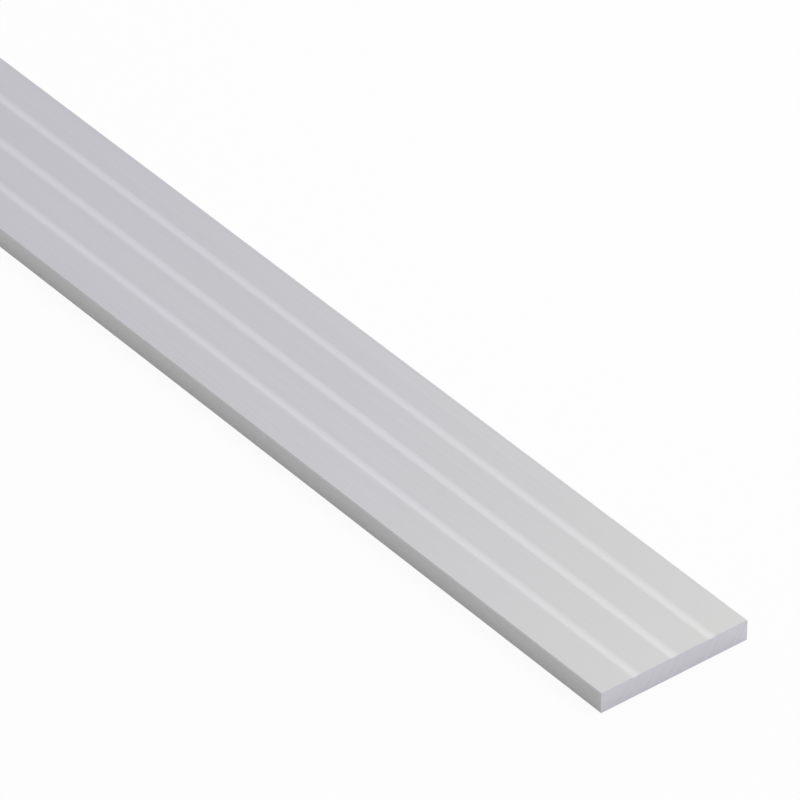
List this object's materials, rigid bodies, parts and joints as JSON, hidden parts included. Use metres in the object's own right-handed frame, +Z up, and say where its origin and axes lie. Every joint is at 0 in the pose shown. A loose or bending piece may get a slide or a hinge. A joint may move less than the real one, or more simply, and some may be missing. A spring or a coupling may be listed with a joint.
{
  "type": "aluminium flat bar",
  "caption": "Length of extruded aluminium flat bar: plain rectangular section, lightly rounded long edges, faint shallow flutes along the top face and square sawn ends.",
  "frame": {"origin": "middle of the plain underside, half-way along the bar and half-way across its width", "axes": "+X along the bar, +Y across its width, +Z up out of the fluted top face"},
  "size_m": [1, 0.03, 0.004],
  "materials": {
    "aluminium": "satin mill finish, as extruded, with faint lines along the length"
  },
  "bodies": {
    "root": {"flat_bar": "aluminium"}
  },
  "joints": []
}
